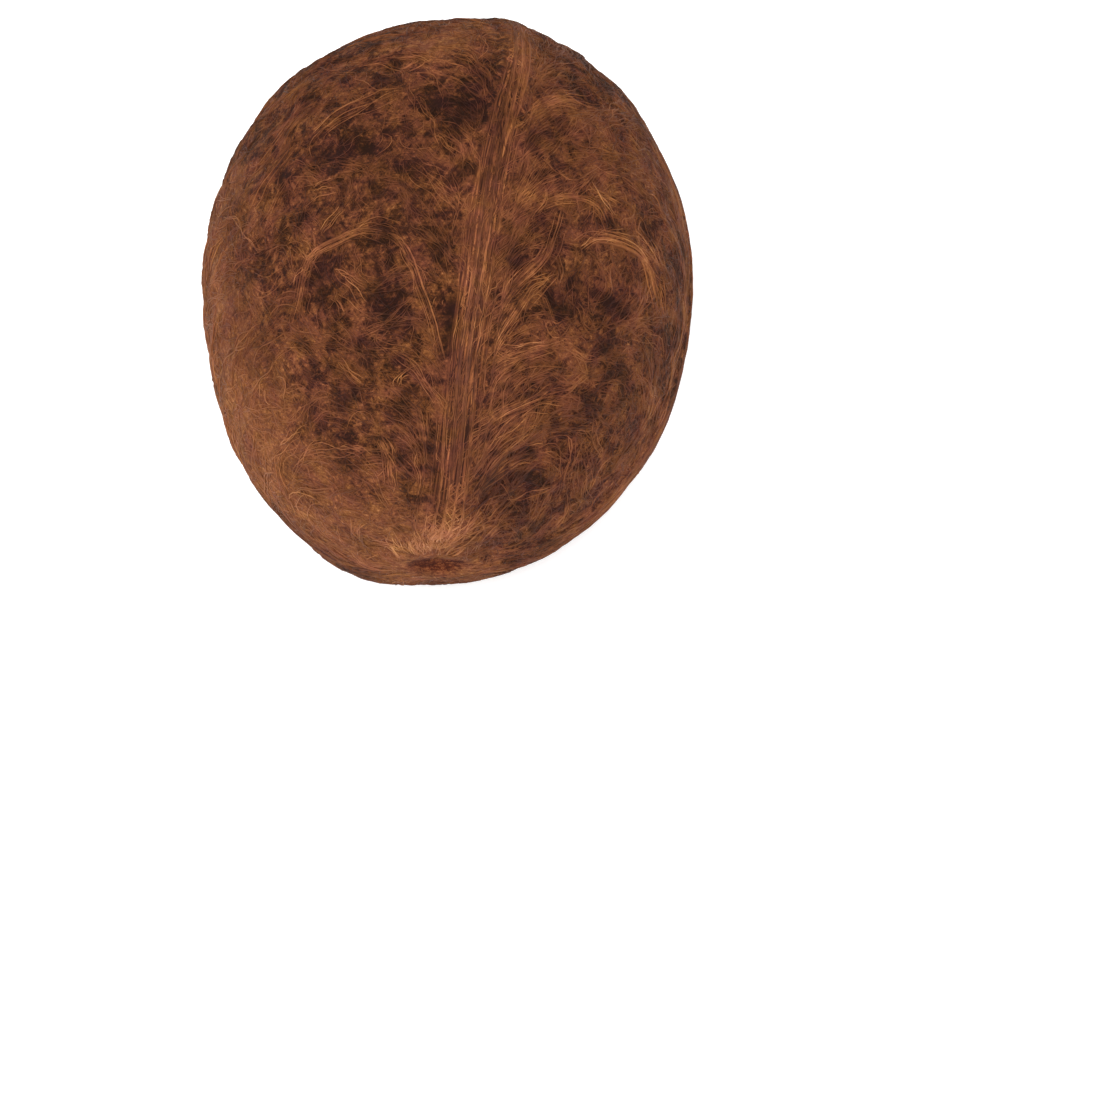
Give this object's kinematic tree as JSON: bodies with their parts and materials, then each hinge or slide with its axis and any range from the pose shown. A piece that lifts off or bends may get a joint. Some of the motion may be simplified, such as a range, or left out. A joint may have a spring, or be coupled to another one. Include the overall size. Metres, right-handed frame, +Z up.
{
  "type": "coconut",
  "caption": "Egg-shaped husked brown coconut lying on its side, its shell covered in matted coir fibre with ridges of parallel strands running end to end.",
  "frame": {"origin": "middle of the underside of the nut's bounding box, on the surface that it lies on", "axes": "+Y along the nut from the eye end to the blunt end, +X across it to the right as seen from the eye end, +Z up"},
  "size_m": [0.1106, 0.1286, 0.1051],
  "materials": {
    "coir_shell": "matte, fibrous"
  },
  "bodies": {
    "root": {"coconut": "coir_shell"}
  },
  "joints": []
}
